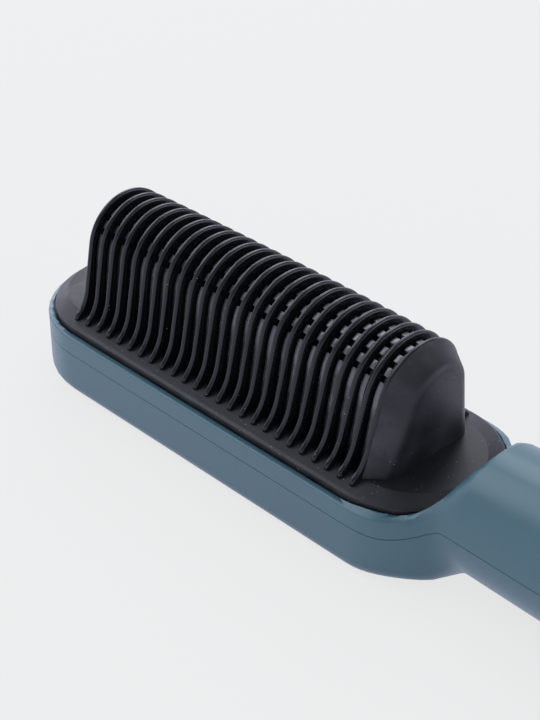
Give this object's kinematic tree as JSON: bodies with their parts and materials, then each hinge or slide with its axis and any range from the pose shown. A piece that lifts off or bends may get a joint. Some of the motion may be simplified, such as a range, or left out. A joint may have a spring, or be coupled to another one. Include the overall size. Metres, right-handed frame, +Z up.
{
  "type": "hot comb",
  "caption": "Corded electric straightening comb: a long flat-backed head with a row of arched guard fins over a heated comb, and a round handle with a button and a swivel cord gland.",
  "frame": {"origin": "middle of the tool's length and width, on the surface it lies on", "axes": "+X from the tip of the head to the cord gland, +Z up through the comb fins, the tool lies on its back"},
  "size_m": [0.2709, 0.0462, 0.0478],
  "materials": {
    "housing_teal": "fine satin moulding texture",
    "guard_black": "fine matte moulding",
    "comb_coating": "dark satin ceramic coating on cast aluminium",
    "heater_ceramic": "matte alumina",
    "mica": "flaky mica sheet",
    "sheet_steel": "stamped sheet",
    "screw_steel": "zinc plated",
    "bead_epoxy": "glossy bead",
    "fuse_case": "plain can",
    "lead_red": "silicone sleeve",
    "lead_yellow": "PTFE sleeve",
    "lead_blue": "PVC sleeve",
    "board_green": "solder mask",
    "capacitor_yellow": "dipped film capacitor",
    "chip_black": "moulded package",
    "switch_grey": "moulded switch",
    "plunger_brown": "moulded plunger",
    "button_teal": "satin, a little lighter than the housing",
    "bezel_chrome": "plated ring",
    "led_white": "diffusing lens",
    "lens_clear": "frosted clear moulding",
    "bush_grey": "acetal",
    "gland_black": "soft matte moulding",
    "slip_ring_brass": "turned",
    "holder_cream": "heat-resistant moulding",
    "brush_carbon": "sintered carbon"
  },
  "bodies": {
    "root": {"upper_housing": "housing_teal", "lower_housing": "housing_teal", "comb_guard": "guard_black", "heating_comb": "comb_coating", "ceramic_heater": "heater_ceramic", "mica_sheet": "mica", "heater_clamp": "sheet_steel", "clamp_screws": "screw_steel", "thermistor": "bead_epoxy", "thermal_fuse": "fuse_case", "heater_leads": "lead_red", "sensor_leads": "lead_yellow", "control_board": "board_green", "board_screws": "screw_steel", "power_capacitor": "capacitor_yellow", "triac": "chip_black", "tact_switch": "switch_grey", "button_bezel": "bezel_chrome", "indicator_leds": "led_white", "indicator_lenses": "lens_clear", "supply_leads": "lead_blue", "swivel_bush": "bush_grey", "brush_holder": "holder_cream", "brush_contacts": "brush_carbon", "housing_screws": "screw_steel"},
    "button": {"power_button": "button_teal", "switch_plunger": "plunger_brown"},
    "swivel": {"cord_swivel": "gland_black", "slip_rings": "slip_ring_brass", "swivel_clip": "sheet_steel"}
  },
  "joints": [
    {"name": "button_press", "type": "slide", "parent": "root", "child": "button", "axis": [0, 0, -1], "range_m": [0, 0.0006], "stiffness_N_per_m": 1500},
    {"name": "swivel_spin", "type": "hinge", "parent": "root", "child": "swivel", "pos_m": [0.1225, 0, 0.0162], "axis": [1, 0, 0], "continuous": true}
  ]
}
